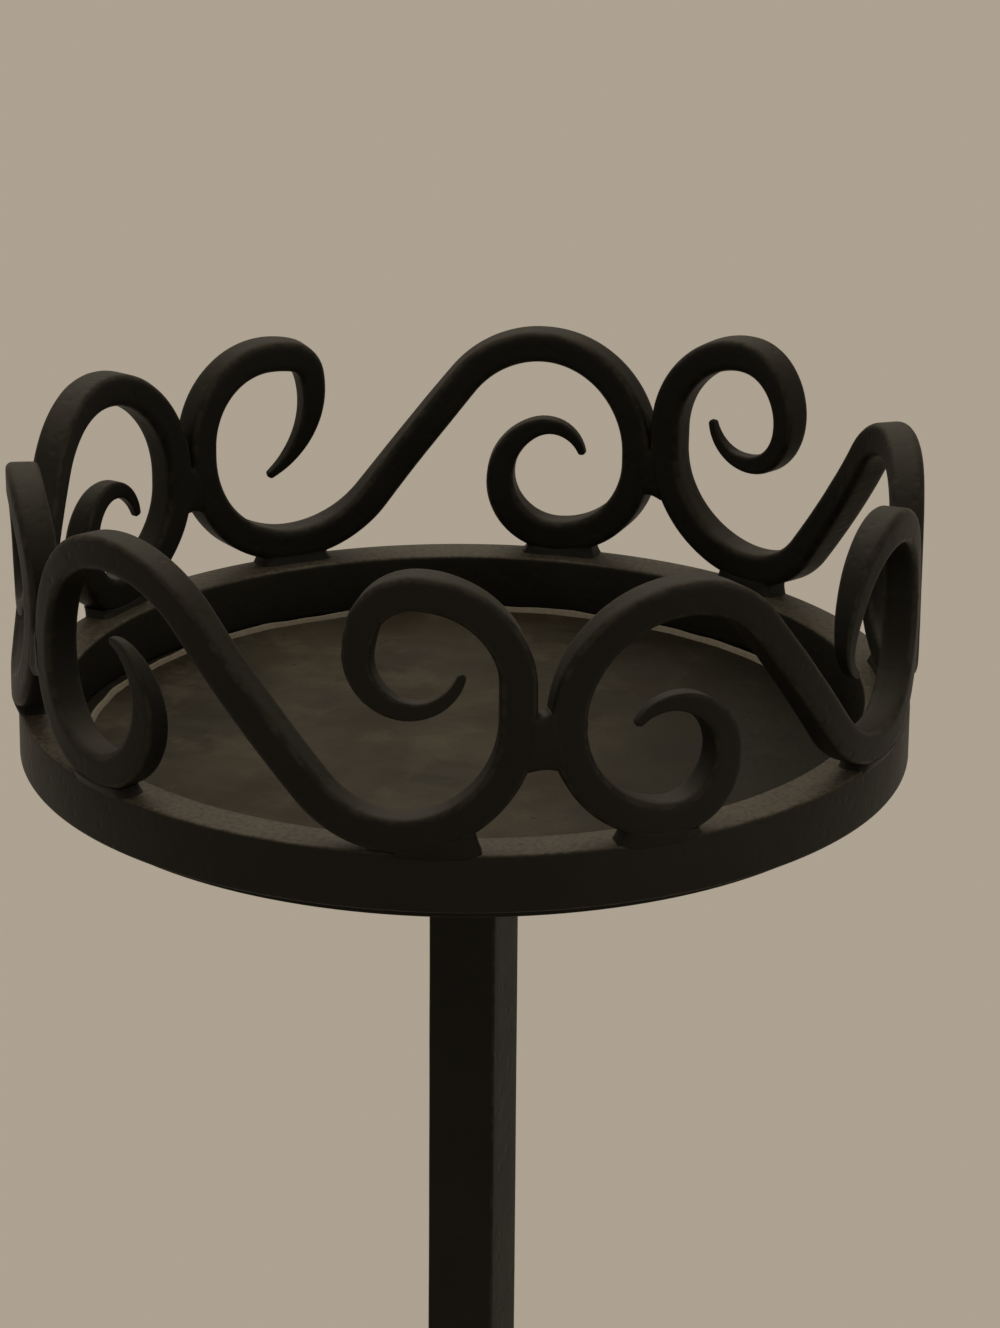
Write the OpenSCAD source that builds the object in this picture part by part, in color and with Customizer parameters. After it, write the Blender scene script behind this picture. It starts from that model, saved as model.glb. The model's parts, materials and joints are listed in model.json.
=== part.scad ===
// Torchere candle stand: a crown of five S-scrolls on a round hoop, with a lift-out
// drip pan, on a square post with four S-scroll legs. Millimetres, +Z up, the origin
// on the floor under the middle of the post.

/* [Stand] */
// Height of the top of the hoop above the floor
hoop_top = 960; // [700:10:1200]
// Width of the square post
post_w = 20.5; // [16:0.5:30]
// Wall of the square post
post_wall = 2; // [1.5:0.1:3]
// Rounding of the post's long edges
post_edge = 1.2; // [0.5:0.1:1.6]
// Height of the post's lower end above the floor
post_low = 165; // [140:5:180]

/* [Hoop and tray] */
// Outer radius of the hoop
hoop_r = 127; // [124:1:150]
// Width of the hoop's bar, measured along the radius
hoop_w = 13; // [11:0.5:18]
// Height of the hoop's bar
hoop_h = 16.5; // [10:0.5:22]
// Softening of the hoop's edges
hoop_edge = 1.1; // [0.4:0.1:3]
// Thickness of the plate under the hoop
plate_t = 4; // [4:0.5:6]
// How far the plate reaches under the hoop's bar
plate_lap = 6; // [4:0.5:9]
// How far the tray sits off the post's axis, as the photographed stand has it
tray_off = 3; // [0:0.1:5]
// Direction in which the tray sits off the post's axis
tray_off_turn = 200.5; // [0:0.5:359.5]

/* [Drip pan] */
// Sheet thickness of the pan
pan_t = 1.2; // [0.8:0.1:2]
// Height of the pan's lip above the plate
pan_h = 4; // [2.8:0.1:6]
// Gap between the pan's lip and the hoop
pan_gap = 4.2; // [2:0.1:8]
// Width over which the lip rises
pan_lip_w = 3; // [2:0.1:6]

/* [Crown scrolls] */
// Side of the scrolls' square bar
bar = 10; // [8:0.1:11]
// Softening of the bar's edges
bar_edge = 2.2; // [0.4:0.1:2.5]
// Share of the bar's size that is left at a drawn-out tip
tip_share = 0.25; // [0.2:0.05:0.6]
// How far the scrolls stand out past the hoop's outer face
crown_proud = 2; // [0:0.1:3]
// Length of the straight waist between the two arches of a scroll
waist = 41; // [30:0.1:46]
// Radius of the belly, between the arch and the curl
belly_r = 28.5; // [26:0.5:29]
// Turn of the crown about the post
crown_turn = 11.2; // [0:0.1:72]
// Mean gap between a scroll and the hoop, filled with weld
foot_gap = 0.5; // [0.3:0.1:2]
// Length of the weld under a scroll
foot_weld_l = 25; // [12:1:30]
// Height of the weld between two scrolls
side_weld_h = 17; // [8:1:20]

/* [Legs] */
// Side of the legs' square bar
leg_bar = 12; // [10:0.5:14]
// Softening of the leg bar's edges
leg_edge = 1.5; // [0.5:0.1:2]
// Distance from the post's axis to the outermost point of a leg
leg_reach = 210; // [195:1:240]
// Height at which a leg leaves the post
leg_leave = 205; // [190:1:230]
// Length of a leg that lies flat on the post
leg_flat = 45; // [30:1:80]
// Length of the straight between the leg's hollow sweep and its knee
leg_waist = 26.8; // [5:0.1:60]
// Radius of the knee, above the widest point
knee_r = 40; // [36:1:44]
// Radius of the foot, below the widest point
foot_r = 36; // [33:1:38]
// Radius of the leg's upper volute
volute_r = 30; // [27:1:34]

/* [Foot pads] */
// Radius of a foot pad
pad_r = 11; // [8:0.5:16]
// Thickness of a foot pad
pad_t = 4; // [3:0.5:8]
// How far a leg presses into its pad
pad_squash = 0.8; // [0.4:0.1:1]

/* [Hidden] */

iron = [0.07, 0.068, 0.065];
pan_iron = [0.16, 0.145, 0.125];
zinc = [0.6, 0.6, 0.58];
rubber = [0.03, 0.03, 0.03];

SCROLLS = 5;
LEGS = 4;
// Angle between two rings of a swept bar on a curve
STEP = 15;
// Sides of the large and of the small circles
BIG = 160;
SMALL = 48;
// How far a cut runs past the face that it opens
PAST = 1;

// The hand-made differences of the five scrolls, in order round the crown.
// How far the place where a scroll meets the next one is off an even spacing, in degrees
drift = [1.2, 0.1, -1.2, -2.5, 1.1];
// Gap between a scroll and the next one, closed by weld
side_gap = [0, 0, 0, 0, 3];
// How much higher a scroll stands than usual
lift = [0, 0.5, 0, 0, -0.3];
// Lean of a scroll in its own face; a minus lifts its upper curl
lean = [0.5, -1, -0.1, -0.6, 0];
// How far the welds under a scroll's lower and upper foot are off the foot's lowest point
weld_off = [[-3, 0], [0, 0], [-1.5, 0], [0, 0], [0, 9.5]];
// The lower end of a scroll: what its arch and its belly have over the usual radius, the
// straight between them, then the arcs of its curl and eye as [radius, turn]
lower_end = [[-2, 0.8, 0, [[16, 175], [12.5, 62]]],
    [-1.9, -1, 3, [[17.5, 163], [12, 132]]],
    [-2.4, -2, 2.8, [[17.7, 155], [11, 104]]],
    [0.5, -1.8, 2.9, [[16.6, 120], [14, 140]]],
    [2.1, -1.5, 0.3, [[19.5, 150], [8, 45]]]];
// The upper end of a scroll, in the same way
upper_end = [[-1, -1.5, 0, [[22, 60], [36, 25], [11, 78]]],
    [-2, -0.4, 5.6, [[16.9, 190], [12.5, 73]]],
    [-0.5, -3.7, 2.6, [[33, 14], [8.5, 62], [28, 76]]],
    [-0.5, -0.8, 0, [[18.5, 163], [12, 132]]],
    [-2.5, -2, 9.5, [[14.5, 78], [60, 5], [14.7, 72], [13.5, 102]]]];

// Heights of the tray, from the hoop down to the post
hoop_low = hoop_top - hoop_h;
plate_low = hoop_low - plate_t;
plate_r = hoop_r - hoop_w + plate_lap;
pan_r = hoop_r - hoop_w - pan_gap;

// The screw of the tray and the block that it goes into
screw_r = 3;
screw_l = 20;
screw_head_r = 6;
screw_head_h = 3.3;
screw_sink = 0.2;
hex_r = 2.3;
hex_deep = 2;
plug_l = 22;
screw_fit = 0.05;
cap_t = 2;
cap_in = 14;
cap_fit = 0.05;

// The crown: the middle line of its scrolls, and the height of their centres
crown_r = hoop_r + crown_proud - bar / 2;
crown_half = PI * crown_r / SCROLLS - bar / 2;
// Radius of the high arch that the waist leaves room for
arch_r = crown_half / 2 - pow(waist, 2) / (8 * crown_half);
crown_mid = hoop_top + foot_gap + bar / 2 + (arch_r + belly_r) / 2;
crown_foot = -(arch_r + belly_r) / 2;
crown_pitch = 360 / SCROLLS;
deg_per_mm = 180 / PI / crown_r;
// How late a drawn-out end gets thin: 1 is an even taper
taper = 1.5;
// How far along its curl a scroll's lower end begins to thin; the upper end does so at once
late_draw = 12;
// Overlap of two scrolls that touch, and of a weld with what it joins
touch = 0.1;
weld_bite = 0.4;
foot_weld_w = 9;
side_weld_w = 9;
// How far the middle of a side weld lies under the place where the scrolls meet
side_weld_drop = 7;
// Outer radius of a scroll where it meets the next one
side_r = (arch_r + belly_r + bar) / 2;
// Steps along a weld, as shares of its length
WELD_STEPS = [-0.5 : 0.125 : 0.5];

// The leg's middle line
leg_x = post_w / 2 + leg_bar / 2;
knee_z = pad_t - pad_squash + leg_bar / 2 + foot_r;
knee_x = leg_reach - leg_bar / 2 - knee_r;
foot_x = leg_reach - leg_bar / 2 - foot_r;
// Radius of the hollow sweep that fits between the post, the knee and the straight
sweep_r = (pow(knee_x - leg_x, 2) + pow(leg_leave - knee_z, 2) - pow(knee_r, 2)
    - pow(leg_waist, 2)) / (2 * (knee_x - leg_x + knee_r));
// Radii of the curl and the eye at the foot and in the upper volute
foot_curl_r = 24;
foot_eye_r = 14;
volute_curl_r = 21;
volute_eye_r = 13;
// Turn of a leg's curls and eyes
leg_curl_turn = 160;
leg_eye_turn = 125;
// Length over which a leg's ends are drawn out
leg_draw = 90;

// ---- a bar that follows arcs: a pose is [x, y, heading, distance along the bar] ----

// The pose at a share of one arc [radius, turn]; radius 0 is a straight of that length
function along(p, arc, share) = arc[0] == 0
    ? [p[0] + share * arc[1] * cos(p[2]), p[1] + share * arc[1] * sin(p[2]),
        p[2], p[3] + share * arc[1]]
    : let (h = p[2] + share * arc[1], s = sign(arc[1]) * arc[0])
        [p[0] + s * (sin(h) - sin(p[2])), p[1] - s * (cos(h) - cos(p[2])),
        h, p[3] + arc[0] * abs(share * arc[1]) * PI / 180];

// How many rings an arc needs
function rings(arc) = arc[0] == 0 ? 2 : ceil(abs(arc[1]) / STEP);

// All poses along a chain of arcs, without the first one
function follow(arcs, p, k = 0) = k == len(arcs) ? []
    : concat([for (j = [1 : rings(arcs[k])]) along(p, arcs[k], j / rings(arcs[k]))],
        follow(arcs, along(p, arcs[k], 1), k + 1));

// The same poses walked the other way
function turned(poses) = [for (i = [len(poses) - 1 : -1 : 0])
    [poses[i][0], poses[i][1], poses[i][2] + 180, poses[i][3]]];

// Each pose with the bar's share of its full size, which falls over the last stretch
function drawn_out(poses, stretch) = let (whole = poses[len(poses) - 1][3])
    [for (p = poses) let (gone = max(0, 1 - (whole - p[3]) / stretch))
        [p[0], p[1], p[2], 1 - (1 - tip_share) * pow(gone, taper)]];

function arcs_length(arcs) = PI / 180 * [for (a = arcs) a[0] * a[1]] * [for (a = arcs) 1];

// A square section with softened edges, as [across the bar, through the bar]
function section(side, edge) = let (a = side / 2, b = side / 2 - edge)
    [[a, -b], [a, b], [b, a], [-b, a], [-a, b], [-a, -b], [-b, -a], [b, -a]];

// The bar's skin: rings of section points joined by triangles, closed at both ends
module swept_bar(rows) {
    m = len(rows[0]);
    n = len(rows);
    sides = [for (i = [0 : n - 2], j = [0 : m - 1]) let (k = (j + 1) % m)
        each [[i * m + j, (i + 1) * m + j, (i + 1) * m + k],
            [i * m + j, (i + 1) * m + k, i * m + k]]];
    start_cap = [for (j = [1 : m - 2]) [0, j, j + 1]];
    end_cap = [for (j = [1 : m - 2]) [(n - 1) * m, (n - 1) * m + j + 1, (n - 1) * m + j]];
    polyhedron([for (row = rows) each row], concat(sides, start_cap, end_cap), convexity = 8);
}

// ---- post ----

module rounded_square(side, edge) {
    square([side - 2 * edge, side], center = true);
    square([side, side - 2 * edge], center = true);
    for (x = [-1, 1], y = [-1, 1])
        translate([x, y] * (side / 2 - edge)) circle(r = edge, $fn = SMALL / 2);
}

// Square tube, open inside from end to end
module post() {
    color(iron) translate([0, 0, post_low]) linear_extrude(plate_low - post_low)
        difference() {
            rounded_square(post_w, post_edge);
            square(post_w - 2 * post_wall, center = true);
        }
}

// Tapped block welded into the top of the tube
module post_top_plug() {
    side = post_w - 2 * post_wall;
    color(iron) difference() {
        translate([0, 0, plate_low - plug_l / 2]) cube([side, side, plug_l], center = true);
        translate([0, 0, plate_low - plug_l - PAST])
            cylinder(r = screw_r + screw_fit, h = plug_l + 2 * PAST, $fn = SMALL);
    }
}

// Cap pushed into the lower end of the tube
module post_end_cap() {
    side = post_w - 2 * (post_wall + cap_fit);
    color(rubber) union() {
        translate([0, 0, post_low - cap_t]) linear_extrude(cap_t)
            rounded_square(post_w, post_edge);
        translate([0, 0, post_low + cap_in / 2]) cube([side, side, cap_in], center = true);
    }
}

// ---- tray ----

// Moves a piece of the tray from the post's axis to the tray's
module on_tray() {
    translate(tray_off * [cos(tray_off_turn), sin(tray_off_turn)]) children();
}

// Round plate welded under the hoop, with a countersunk hole over the post
module tray_plate() {
    head_low = hoop_low - screw_sink - screw_head_h;
    color(iron) difference() {
        on_tray() translate([0, 0, plate_low]) cylinder(r = plate_r, h = plate_t, $fn = BIG);
        translate([0, 0, plate_low - PAST])
            cylinder(r = screw_r + screw_fit, h = plate_t + 2 * PAST, $fn = SMALL);
        translate([0, 0, head_low])
            cylinder(r1 = screw_r + screw_fit, r2 = screw_head_r + screw_fit,
                h = screw_head_h, $fn = SMALL);
        translate([0, 0, hoop_low - screw_sink])
            cylinder(r = screw_head_r + screw_fit, h = screw_sink + PAST, $fn = SMALL);
    }
}

// Countersunk screw with a hexagon socket
module tray_screw() {
    head_top = hoop_low - screw_sink;
    color(zinc) difference() {
        union() {
            translate([0, 0, head_top - screw_l]) cylinder(r = screw_r, h = screw_l, $fn = SMALL);
            translate([0, 0, head_top - screw_head_h])
                cylinder(r1 = screw_r, r2 = screw_head_r, h = screw_head_h, $fn = SMALL);
        }
        translate([0, 0, head_top - hex_deep]) cylinder(r = hex_r, h = hex_deep + PAST, $fn = 6);
    }
}

// Round rim of heavy bar with softened edges
module hoop() {
    a = hoop_r - hoop_w;
    b = hoop_edge;
    color(iron) on_tray() translate([0, 0, hoop_low]) rotate_extrude($fn = BIG)
        polygon([[a + b, 0], [hoop_r - b, 0], [hoop_r, b], [hoop_r, hoop_h - b],
            [hoop_r - b, hoop_h], [a + b, hoop_h], [a, hoop_h - b], [a, b]]);
}

// Lift-out sheet pan with a low lip that leans outwards
module drip_pan() {
    foot = pan_r - pan_lip_w;
    color(pan_iron) on_tray() translate([0, 0, hoop_low]) rotate_extrude($fn = BIG)
        polygon([[0, 0], [foot, 0], [pan_r, pan_h - pan_t], [pan_r, pan_h],
            [pan_r - pan_t, pan_h], [foot - pan_t, pan_t], [0, pan_t]]);
}

// ---- crown ----

// The scroll before scroll k
function before(k) = (k + SCROLLS - 1) % SCROLLS;

// Angle round the post at which scroll k meets the next one
function meets(k) = crown_turn + crown_pitch * k + drift[k];

// Angles at which scroll k starts and ends, each at its half of the gap
function from_turn(k) = meets(before(k)) - (k == 0 ? 360 : 0) + side_gap[before(k)] / 2 * deg_per_mm;
function to_turn(k) = meets(k) - side_gap[k] / 2 * deg_per_mm;

// Angle of the middle of scroll k, and half its width on its middle line
function mid_turn(k) = (from_turn(k) + to_turn(k)) / 2;
function half_w(k) = (to_turn(k) - from_turn(k)) / 2 / deg_per_mm - bar / 2 + touch;

// Radii of the arch and the belly of one end, and the end's whole height
function arch_of(end) = arch_r + end[0];
function belly_of(end) = belly_r + end[1];
function height_of(end) = arch_of(end) + end[2] + belly_of(end);

// Centres of the two arches of scroll k: of the lower end on the left, of the upper end on the right
function low_arch(k) = [arch_of(lower_end[k]) - half_w(k),
    crown_foot + height_of(lower_end[k]) - arch_of(lower_end[k])];
function up_arch(k) = [half_w(k) - arch_of(upper_end[k]), crown_foot + arch_of(upper_end[k])];

// Slope of the straight that touches both arches, and its length
function both_arches(k) = arch_of(lower_end[k]) + arch_of(upper_end[k]);
function slope(k) = let (d = up_arch(k) - low_arch(k))
    asin(both_arches(k) / norm(d)) - atan2(d[1], d[0]);
function straight(k) = sqrt(pow(norm(up_arch(k) - low_arch(k)), 2) - pow(both_arches(k), 2));

// Where the lower and the upper end of scroll k come down to the hoop
function foot_xs(k) = [belly_of(lower_end[k]) - half_w(k), up_arch(k)[0]];

// One end of scroll k, from the middle of its straight out to the tip
function scroll_end(k, end, start, late) =
    let (arcs = concat([[0, straight(k) / 2], [arch_of(end), slope(k) + 90], [0, end[2]],
            [belly_of(end), 90]], end[3]))
    drawn_out(concat([start], follow(arcs, start)), arcs_length(end[3]) - late);

// The whole scroll k, flat, from its upper tip to its lower tip
function scroll_poses(k) =
    let (touch_at = low_arch(k) + arch_of(lower_end[k]) * [sin(slope(k)), cos(slope(k))],
        mid = touch_at + straight(k) / 2 * [cos(slope(k)), -sin(slope(k))],
        low = scroll_end(k, lower_end[k], [mid[0], mid[1], 180 - slope(k), 0], late_draw),
        up = scroll_end(k, upper_end[k], [mid[0], mid[1], -slope(k), 0], 0))
    concat(turned(up), [for (i = [1 : len(low) - 1]) low[i]]);

// A flat scroll point leaned, then bent round the hoop
function bent(k, x, y, out) =
    let (u = x * cos(lean[k]) + y * sin(lean[k]),
        v = y * cos(lean[k]) - x * sin(lean[k]),
        turn = mid_turn(k) + u * deg_per_mm)
    [(crown_r + out) * cos(turn), (crown_r + out) * sin(turn), crown_mid + lift[k] + v];

module crown_scroll(k) {
    color(iron) on_tray() swept_bar([for (p = scroll_poses(k))
        [for (q = section(bar, bar_edge) * p[3])
            bent(k, p[0] - q[0] * sin(p[2]), p[1] + q[0] * cos(p[2]), q[1])]]);
}

// Height at which scroll k meets the next one
function meets_z(k) =
    let (up = upper_end[k], next = (k + 1) % SCROLLS, low = lower_end[next])
    crown_mid + crown_foot + (lift[k] + lift[next]) / 2
        + (arch_of(up) + up[2] / 2 + belly_of(low) + low[2] / 2) / 2;

// How far a round side of radius r falls away at a distance from where it is nearest
function away(r, distance) = r - sqrt(r * r - distance * distance);

// A weld with this outline, drawn on a face that looks along the radius at a turn and a height
module weld(turn, height, width, outline) {
    color(iron) on_tray() rotate(turn) translate([crown_r, 0, height]) rotate([90, 0, 90])
        linear_extrude(width, center = true) polygon(outline);
}

// Welds that fill the space between neighbouring scrolls, round the place where they meet
module crown_side_welds() {
    for (k = [0 : SCROLLS - 1]) {
        side = [for (t = WELD_STEPS) let (z = t * side_weld_h - side_weld_drop)
            [side_gap[k] / 2 + away(side_r, z) + weld_bite, z]];
        weld(meets(k), meets_z(k), side_weld_w,
            concat(side, [for (i = [len(side) - 1 : -1 : 0]) [-side[i][0], side[i][1]]]));
    }
}

// Welds between the hoop and the two feet of each scroll
module crown_foot_welds() {
    for (k = [0 : SCROLLS - 1], e = [0, 1]) {
        x = foot_xs(k)[e];
        under_r = [belly_of(lower_end[k]), arch_of(upper_end[k])][e] + bar / 2;
        gap = foot_gap + lift[k] - x * sin(lean[k]);
        top = [for (t = WELD_STEPS) let (s = weld_off[k][e] - t * foot_weld_l)
            [s, gap + away(under_r, s) + weld_bite]];
        weld(mid_turn(k) + x * deg_per_mm, hoop_top, foot_weld_w,
            concat([[top[len(top) - 1][0], -weld_bite], [top[0][0], -weld_bite]], top));
    }
}

// ---- base ----

// A leg from the middle of its flat down to the inner tip of its foot
function leg_low() =
    let (gap = [knee_x - leg_x - sweep_r, knee_z - leg_leave],
        lean_in = asin((sweep_r + knee_r) / norm(gap)) + atan2(gap[1], gap[0]),
        arcs = [[0, leg_flat / 2], [sweep_r, 90 + lean_in], [0, leg_waist], [knee_r, -90 - lean_in],
            [foot_r, -90], [foot_curl_r, -leg_curl_turn], [foot_eye_r, -leg_eye_turn]],
        start = [leg_x, leg_leave + leg_flat / 2, -90, 0])
    drawn_out(concat([start], follow(arcs, start)), leg_draw);

// A leg from the middle of its flat up to the tip of its volute
function leg_high() =
    let (arcs = [[0, leg_flat / 2], [volute_r, -180], [volute_curl_r, -leg_curl_turn],
            [volute_eye_r, -leg_eye_turn]],
        start = [leg_x, leg_leave + leg_flat / 2, 90, 0])
    drawn_out(concat([start], follow(arcs, start)), leg_draw);

module leg(k) {
    low = leg_low();
    poses = concat(turned(leg_high()), [for (i = [1 : len(low) - 1]) low[i]]);
    color(iron) rotate(360 / LEGS * k) swept_bar([for (p = poses)
        [for (q = section(leg_bar, leg_edge) * p[3])
            [p[0] - q[0] * sin(p[2]), -q[1], p[1] + q[0] * cos(p[2])]]]);
}

// Round rubber pad under the lowest point of a leg
module foot_pad(k) {
    color(rubber) rotate(360 / LEGS * k) translate([foot_x, 0, 0])
        cylinder(r = pad_r, h = pad_t, $fn = SMALL);
}

post();
post_top_plug();
post_end_cap();
tray_plate();
tray_screw();
hoop();
drip_pan();
crown_scroll(0);  // crown_scroll_1
crown_scroll(1);  // crown_scroll_2
crown_scroll(2);  // crown_scroll_3
crown_scroll(3);  // crown_scroll_4
crown_scroll(4);  // crown_scroll_5
crown_side_welds();
crown_foot_welds();
leg(0);  // leg_1
leg(1);  // leg_2
leg(2);  // leg_3
leg(3);  // leg_4
foot_pad(0);  // foot_pad_1
foot_pad(1);  // foot_pad_2
foot_pad(2);  // foot_pad_3
foot_pad(3);  // foot_pad_4
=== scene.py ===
import json
import math

import bpy
import bmesh
from mathutils import Matrix, Vector, noise

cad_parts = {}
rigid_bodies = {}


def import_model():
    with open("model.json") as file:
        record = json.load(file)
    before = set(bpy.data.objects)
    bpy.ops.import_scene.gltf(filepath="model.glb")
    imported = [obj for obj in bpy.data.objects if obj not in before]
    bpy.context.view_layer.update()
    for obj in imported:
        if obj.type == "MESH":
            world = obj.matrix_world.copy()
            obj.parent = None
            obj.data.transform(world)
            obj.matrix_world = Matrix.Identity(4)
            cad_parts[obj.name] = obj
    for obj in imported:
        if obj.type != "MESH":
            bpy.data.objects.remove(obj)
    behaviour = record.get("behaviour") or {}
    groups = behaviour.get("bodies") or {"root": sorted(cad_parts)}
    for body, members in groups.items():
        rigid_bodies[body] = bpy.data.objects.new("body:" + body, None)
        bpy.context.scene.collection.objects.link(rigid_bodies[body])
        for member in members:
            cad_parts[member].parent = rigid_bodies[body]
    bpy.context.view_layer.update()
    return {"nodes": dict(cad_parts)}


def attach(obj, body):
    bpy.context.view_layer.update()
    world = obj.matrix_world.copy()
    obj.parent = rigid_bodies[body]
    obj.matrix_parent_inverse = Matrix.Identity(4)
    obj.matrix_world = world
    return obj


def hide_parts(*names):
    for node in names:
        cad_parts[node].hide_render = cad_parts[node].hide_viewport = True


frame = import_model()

# ---- Legs ----
# Four S-scroll legs of 12 mm square bar, drawn down to thin tips at the foot and at the
# upper volute. They are bent hot round a scroll former and welded to the faces of the post.

MM = 0.001


def feed(tree, made, sockets):
    """Link or set a node's inputs. A key is an input's name, with _ for a space, or n and its
    number."""
    for key, value in sockets.items():
        numbered = key[0] == "n" and key[1:].isdigit()
        into = made.inputs[int(key[1:]) if numbered else key.replace("_", " ")]
        if isinstance(value, Shade):
            value = value.socket
        if isinstance(value, bpy.types.NodeSocket):
            tree.links.new(value, into)
        else:
            into.default_value = value


class Shade:
    """A socket of a material's nodes that can be calculated with."""

    def __init__(self, tree, socket):
        self.tree, self.socket = tree, socket

    def node(self, kind, settings=None, **sockets):
        """A node of any type: its settings are set first, then its sockets by name or number."""
        made = self.tree.nodes.new(kind)
        for key, value in (settings or {}).items():
            setattr(made, key, value)
        feed(self.tree, made, sockets)
        return made

    def out(self, made, output=0):
        return Shade(self.tree, made.outputs[output])

    def maths(self, operation, a, b):
        return self.out(self.node("ShaderNodeMath", {"operation": operation}, n0=a, n1=b))

    def __add__(self, other): return self.maths("ADD", self, other)
    def __radd__(self, other): return self.maths("ADD", other, self)
    def __sub__(self, other): return self.maths("SUBTRACT", self, other)
    def __rsub__(self, other): return self.maths("SUBTRACT", other, self)
    def __mul__(self, other): return self.maths("MULTIPLY", self, other)
    def __rmul__(self, other): return self.maths("MULTIPLY", other, self)

    def most(self, other): return self.maths("MAXIMUM", self, other)

    def clip(self):
        return self.out(self.node("ShaderNodeClamp", None, Value=self))

    def rise(self, low, high):
        """0 below low, 1 above high, and a smooth step between."""
        return self.out(self.node("ShaderNodeMapRange", {"interpolation_type": "SMOOTHSTEP"},
            Value=self, From_Min=low, From_Max=high))

    def mix(self, under, over):
        """Colours, or a link of colours, mixed by this value. A Mix node's colours are its
        inputs 6 and 7 and its output 2."""
        return self.out(self.node("ShaderNodeMix", {"data_type": "RGBA"},
            n0=self, n6=under, n7=over), 2)


class Finish:
    """A procedural finish: one Principled shader, and patterns on the piece's own coordinates."""

    def __init__(self, name):
        self.material = bpy.data.materials.new(name)
        self.material.use_nodes = True
        self.tree = self.material.node_tree
        self.shader = next(n for n in self.tree.nodes if n.type == "BSDF_PRINCIPLED")
        self.at = Shade(self.tree, self.tree.nodes.new("ShaderNodeTexCoord").outputs["Object"])
        normal = self.at.out(self.at.node("ShaderNodeNewGeometry"), "Normal")
        self.up = self.at.out(self.at.node("ShaderNodeSeparateXYZ", None, Vector=normal), 2)

    def spots(self, size, detail=3.0, rough=0.55, seed=0.0, stretch=None):
        """Soft noise with patches of about this size, in metres."""
        place = self.at
        if stretch:
            place = self.at.out(self.at.node("ShaderNodeMapping", None, Vector=self.at,
                Scale=stretch))
        return self.at.out(self.at.node("ShaderNodeTexNoise", {"noise_dimensions": "4D"},
            Vector=place, W=seed, Scale=1 / size, Detail=detail, Roughness=rough))

    def pits(self, size, seed=0.0):
        """Distance to the nearest of many scattered points."""
        return self.at.out(self.at.node("ShaderNodeTexVoronoi", {"voronoi_dimensions": "4D"},
            Vector=self.at, W=seed, Scale=1 / size))

    def mark(self, name):
        """A value that the piece's mesh carries, such as how near a point is to an edge."""
        return self.at.out(self.at.node("ShaderNodeAttribute", {"attribute_name": name}), "Fac")

    def relief(self, *layers):
        """Bumps, each as (height, its depth in metres), one over the other."""
        sockets = {"Strength": 1.0}
        for height, depth in layers:
            made = self.at.node("ShaderNodeBump", None, Height=height, Distance=depth, **sockets)
            sockets["Normal"] = self.at.out(made)
        self.set(Normal=sockets["Normal"])

    def set(self, **sockets):
        feed(self.tree, self.shader, sockets)


PAINT_DARK, PAINT_LIGHT = (0.0080, 0.0075, 0.0063, 1), (0.0135, 0.0128, 0.0110, 1)
PAINT_RUBBED, RUST_FLECK = (0.027, 0.0232, 0.0172, 1), (0.026, 0.015, 0.008, 1)
# The first colour here is dust on faces that look up, and painted light on those tops too.
THIN_DUST_AND_TOP_LIGHT, DUST_ALL_OVER = (0.024, 0.0208, 0.0145, 1), 0.035


def black_paint(name, dust_and_top_light_colour):
    """Satin black paint over forge scale, worn brown-grey on the edges, with thin dust all over.
    Faces that look up take the given colour more thickly: dust, and painted light on the tops."""
    paint = Finish(name)
    cloud = paint.spots(0.045, seed=1.0)
    grain = paint.spots(0.004, detail=4.0, seed=2.0)
    scale = paint.pits(0.0035, seed=3.0)
    edge = paint.mark("edge")
    worn = (edge * (0.35 + 0.9 * cloud) * grain.rise(0.32, 0.62)).rise(0.18, 0.75)
    # Dust on faces that look up, which also serves as painted light on their tops.
    dust = paint.up.rise(0.35, 0.95) * (0.45 + 0.75 * paint.spots(0.012, seed=4.0)) \
        * paint.spots(0.0016, detail=2.0, seed=5.0).rise(0.1, 0.7)
    fleck = paint.pits(0.011, seed=6.0).rise(0.16, 0.08) \
        * paint.spots(0.03, seed=7.0).rise(0.52, 0.66)
    base = cloud.rise(0.25, 0.75).mix(PAINT_DARK, PAINT_LIGHT)
    base = (worn * 0.7).mix(base, PAINT_RUBBED)
    base = (fleck * 0.5).mix(base, RUST_FLECK)
    base = (dust * 0.7 + DUST_ALL_OVER).clip().mix(base, dust_and_top_light_colour)
    rough = 0.50 + 0.14 * (cloud - 0.5) + 0.1 * (grain - 0.5) + 0.08 * dust - 0.05 * worn
    paint.set(Base_Color=base, Specular_IOR_Level=0.12, Metallic=0.0, Roughness=rough.clip())
    paint.relief((cloud, 0.0008), (scale.rise(0.0, 0.5), 0.00012), (grain, 0.00012),
        (paint.spots(0.0009, detail=2.0, seed=8.0), 0.00003))
    return paint.material


PAINT = black_paint("black_satin_paint", THIN_DUST_AND_TOP_LIGHT)


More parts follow.
